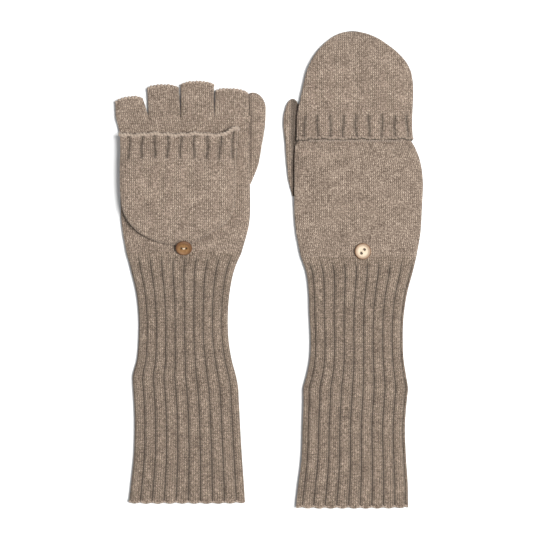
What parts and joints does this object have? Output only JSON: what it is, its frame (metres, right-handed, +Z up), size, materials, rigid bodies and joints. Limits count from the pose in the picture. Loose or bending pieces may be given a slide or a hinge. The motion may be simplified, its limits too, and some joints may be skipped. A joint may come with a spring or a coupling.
{
  "type": "convertible flip-top mittens",
  "caption": "Pair of knitted fingerless gloves with long ribbed cuffs and flip-top mitten flaps that fold back and button down.",
  "frame": {"origin": "on the table, under the middle of the pair's bounding box", "axes": "+Y from the cuff hems to the fingertips, +Z up out of the backs of the hands, +X from the left mitten to the right one"},
  "size_m": [0.2194, 0.3384, 0.0205],
  "materials": {
    "stockinette": "heathered taupe fine-gauge stockinette knit, soft and matt",
    "ribbing": "heathered taupe wide rib knit, soft and matt",
    "sewing_yarn": "taupe yarn, matt",
    "caramel_wood": "turned caramel-brown wood, satin",
    "pale_wood": "turned pale wood with a tan rim, satin",
    "button_thread": "pale sewing thread"
  },
  "bodies": {
    "left_mitten": {"left_cuff": "ribbing", "left_hand": "stockinette", "left_index_stall": "stockinette", "left_middle_stall": "stockinette", "left_ring_stall": "stockinette", "left_little_stall": "stockinette", "left_flap_seam": "sewing_yarn"},
    "left_flap": {"left_flap": "stockinette", "left_flap_rib": "ribbing", "left_button_loop": "sewing_yarn"},
    "left_thumb": {"left_thumb": "stockinette"},
    "left_button": {"left_button": "caramel_wood", "left_button_thread": "button_thread"},
    "right_mitten": {"right_cuff": "ribbing", "right_hand": "stockinette", "right_index_stall": "stockinette", "right_middle_stall": "stockinette", "right_ring_stall": "stockinette", "right_little_stall": "stockinette", "right_flap_seam": "sewing_yarn"},
    "right_flap": {"right_flap": "stockinette", "right_flap_rib": "ribbing", "right_button_loop": "sewing_yarn"},
    "right_thumb": {"right_thumb": "stockinette"},
    "right_button": {"right_button": "pale_wood", "right_button_thread": "button_thread"}
  },
  "joints": [
    {"name": "mittens_apart", "type": "slide", "parent": "left_mitten", "child": "right_mitten", "axis": [1, 0, 0], "range_m": [0, 0.1]},
    {"name": "left_flap_fold", "type": "hinge", "parent": "left_mitten", "child": "left_flap", "pos_m": [-0.06327, 0.09525, 0.0103], "axis": [-1, 0, 0], "range_deg": [0, 180], "deforming": ["left_flap", "left_flap_rib", "left_button_loop"]},
    {"name": "right_flap_fold", "type": "hinge", "parent": "right_mitten", "child": "right_flap", "pos_m": [0.06143, 0.09115, 0.0103], "axis": [1, 0, 0], "range_deg": [0, 176], "deforming": ["right_flap", "right_flap_rib", "right_button_loop"]},
    {"name": "left_thumb_swing", "type": "hinge", "parent": "left_mitten", "child": "left_thumb", "pos_m": [-0.01257, 0.06025, 0.0035], "axis": [0, 0, -1], "range_deg": [0, 10]},
    {"name": "right_thumb_swing", "type": "hinge", "parent": "right_mitten", "child": "right_thumb", "pos_m": [0.01673, 0.05175, 0.0035], "axis": [0, 0, 1], "range_deg": [0, 10]},
    {"name": "left_button_turn", "type": "hinge", "parent": "left_mitten", "child": "left_button", "pos_m": [-0.0596, 0.01435, 0.0152], "axis": [0, -0.5736, 0.8192], "range_deg": [-15, 15]},
    {"name": "right_button_turn", "type": "hinge", "parent": "right_mitten", "child": "right_button", "pos_m": [0.0666, 0.01215, 0.0124], "axis": [0, 0, 1], "range_deg": [-15, 15]}
  ]
}
